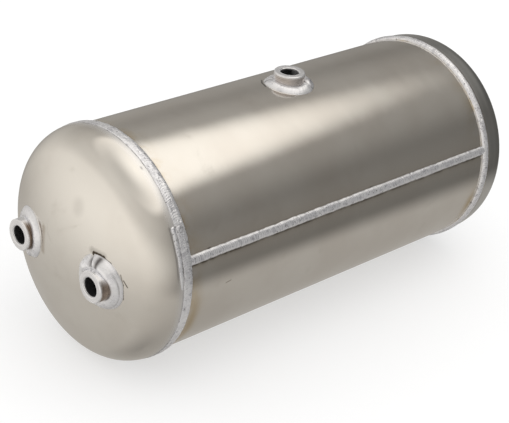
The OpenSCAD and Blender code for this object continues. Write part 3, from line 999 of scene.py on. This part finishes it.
piece(build_shell(), "shell", shell_mat)
piece(build_head("front_dished_head", -1, ["left_port_boss", "right_port_boss"]), "front_head", front_mat)
piece(build_head("rear_dished_head", 1, []), "rear_head", rear_mat)
piece(build_boss("left_threaded_boss", "left_port_boss", (-1, 0, 0), 1), "left_port_boss", left_boss_mat)
piece(build_boss("right_threaded_boss", "right_port_boss", (-1, 0, 0), 2), "right_port_boss", right_boss_mat)
piece(build_boss("top_threaded_boss", "top_port_boss", (0, 0, 1), 3), "top_port_boss", top_boss_mat)
piece(build_seam(), "seam_weld", bead_mat)
piece(build_root(), "seam_root_bead", bead_mat)
front_laps = [(6.3, 37, 66, 0.28, 0.20, 0.85), (4.6, 37, 58, 0.25, 0.15, 0.60), (7.2, 60, 110, 0.3, 0.12, 0.45),
              (-1.3, 13, 34, 0.30, 0.22, 0.70), (-4.9, 30, 40, 0.35, 0.15, 0.8), (6.9, 3, 31, 0.35, 0.30, 0.90), (-2.6, 100, 200, 0.3, 0.10, 0.3)]
piece(build_girth("front_girth_bead", -1, 11, FRONT_W, [(35.2, -0.4, 1.0, 1.3), (30.6, 5.2, 0.9, 0.9), (13.4, -4.6, 0.9, 1.1)], [(32.0, 2.6, 0.75, 3.6)], front_laps, (0.75, 0.85)),
      "front_girth_weld", bead_mat)
piece(build_girth("rear_girth_bead", 1, 21, REAR_W, [(34.6, -1.0, 0.9, 0.8)], [(31.6, -1.2, 0.7, 3.0)], [(1.6, 20, 80, 0.3, 0.12, 0.5)], (0.0, 0.9)), "rear_girth_weld", bead_mat)
piece(build_second_pass(), "front_girth_second_pass", bead_mat)
piece(build_port_weld("left_port_fillet", "left_port_boss", (-1, 0, 0), 101, [(0, 27.2), (90, 27.8), (180, 27.8), (270, 27.2)], [(0, 4.2), (90, 4.2), (180, 4.0), (270, 4.6)], LEFT_PORT), "left_port_weld", port_bead_mat)
piece(build_port_weld("right_port_fillet", "right_port_boss", (-1, 0, 0), 111, [(0, 27.2), (60, 28.5), (90, 29.3), (130, 28.0), (180, 25.6), (225, 26.0), (262, 28.6), (290, 31.0), (318, 31.0), (340, 28.5)],
                      [(0, 4.2), (60, 4.6), (100, 5.0), (140, 5.2), (175, 6.4), (215, 8.6), (260, 8.8), (292, 6.0), (320, 6.4), (345, 5.0)], RIGHT_PORT), "right_port_weld", port_bead_mat)
piece(build_port_weld("top_port_fillet", "top_port_boss", (0, 0, 1), 121, [(0, 27.2), (60, 27.6), (120, 27.4), (180, 27.6), (225, 28.2), (270, 27.2)], [(0, 4.0), (90, 4.4), (180, 4.0), (225, 5.2), (270, 4.6)], TOP_PORT), "top_port_weld", port_bead_mat)

# ---------------------------------------------------------------- floor, light and surroundings

floor_z = cad_box[0][2] / MM - 0.2
fm = bpy.data.meshes.new("floor")
s = 9000.0
fm.from_pydata([(-s * MM, -s * MM, floor_z * MM), (s * MM, -s * MM, floor_z * MM), (s * MM, s * MM, floor_z * MM), (-s * MM, s * MM, floor_z * MM)], [], [(0, 1, 2, 3)])
floor = bpy.data.objects.new("floor", fm)
scene.collection.objects.link(floor)
mat, t, p = new_material("pale_floor")
p.inputs["Base Color"].default_value = (0.52, 0.52, 0.52, 1)
p.inputs["Roughness"].default_value = 0.9
p.inputs["Specular IOR Level"].default_value = 0.0
p.inputs["Emission Color"].default_value = (1.0, 1.0, 1.0, 1)
p.inputs["Emission Strength"].default_value = 0.50
fm.materials.append(mat)
floor.visible_glossy = False

# a plain studio: grey walls over a pale floor, a broad soft light overhead, and a second one behind the viewer's left shoulder
# (elevation in degrees, brightness) on the far side and on the lit side
FAR_SIDE = [(-90, 0.30), (-35, 0.35), (-20, 0.10), (15, 0.10), (40, 0.25), (50, 1.00), (90, 1.00)]
LIT_SIDE = [(-90, 0.25), (-45, 0.45), (0, 0.80), (30, 0.60), (60, 0.50), (90, 0.90)]
LIT_AZIMUTH = 170.0
WARMTH = (1.0, 0.95, 0.88)


def build_world():
    w = bpy.data.worlds.new("room")
    scene.world = w
    w.use_nodes = True
    nt = w.node_tree
    nt.nodes.clear()
    t = Tree(nt)
    d = t.node("ShaderNodeTexCoord").outputs["Generated"]
    norm = t.node("ShaderNodeVectorMath", operation="NORMALIZE")
    t.put(d, norm.inputs[0])
    sep = t.node("ShaderNodeSeparateXYZ")
    t.put(norm.outputs[0], sep.inputs[0])
    x, y, z = sep.outputs
    el = t.math("MULTIPLY", t.math("ARCSINE", z), 180 / math.pi)
    az = t.math("MULTIPLY", t.math("ARCTAN2", y, x), 180 / math.pi)
    fac = t.math("MULTIPLY_ADD", el, 1 / 180.0, 0.5)
    sides = []
    for stops in (FAR_SIDE, LIT_SIDE):
        r = t.node("ShaderNodeValToRGB")
        t.put(fac, r.inputs[0])
        ramp = r.color_ramp
        ramp.interpolation = "EASE"
        while len(ramp.elements) < len(stops):
            ramp.elements.new(0.5)
        for e, (deg, level) in zip(ramp.elements, stops):
            e.position = (deg + 90) / 180.0
        for e, (deg, level) in zip(ramp.elements, stops):
            e.color = (level * WARMTH[0], level * WARMTH[1], level * WARMTH[2], 1)
        sides.append(r.outputs[0])
    turn = t.math("MULTIPLY", t.math("SUBTRACT", az, LIT_AZIMUTH), math.pi / 180)
    side = t.math("MULTIPLY_ADD", t.math("COSINE", turn), 0.5, 0.5)
    col = t.mix(side, sides[0], sides[1])
    glossy = t.node("ShaderNodeBackground")
    t.put(col, glossy.inputs[0])
    glossy.inputs[1].default_value = 1.15
    soft = t.node("ShaderNodeBackground")
    soft.inputs[0].default_value = (1.0, 1.0, 1.0, 1)
    soft.inputs[1].default_value = 1.0
    white = t.node("ShaderNodeBackground")
    white.inputs[0].default_value = (1, 1, 1, 1)
    white.inputs[1].default_value = 1.0
    path = t.node("ShaderNodeLightPath")
    m1 = t.node("ShaderNodeMixShader")
    t.put(path.outputs["Is Glossy Ray"], m1.inputs[0])
    t.put(soft.outputs[0], m1.inputs[1])
    t.put(glossy.outputs[0], m1.inputs[2])
    m2 = t.node("ShaderNodeMixShader")
    t.put(path.outputs["Is Camera Ray"], m2.inputs[0])
    t.put(m1.outputs[0], m2.inputs[1])
    t.put(white.outputs[0], m2.inputs[2])
    out = t.node("ShaderNodeOutputWorld")
    t.put(m2.outputs[0], out.inputs[0])


build_world()

light = bpy.data.lights.new("softbox", "AREA")
light.shape = "RECTANGLE"
light.size, light.size_y = 2.2, 1.6
light.energy = 6.0
light.color = (1.0, 0.985, 0.96)
lo = bpy.data.objects.new("softbox", light)
scene.collection.objects.link(lo)
lo.location = (0.35, -0.5, 2.2)
lo.rotation_euler = (Vector((0, 0, 0)) - lo.location).to_track_quat("-Z", "Y").to_euler()
lo.visible_glossy = False

scene.view_settings.view_transform = "Standard"
scene.view_settings.look = "None"
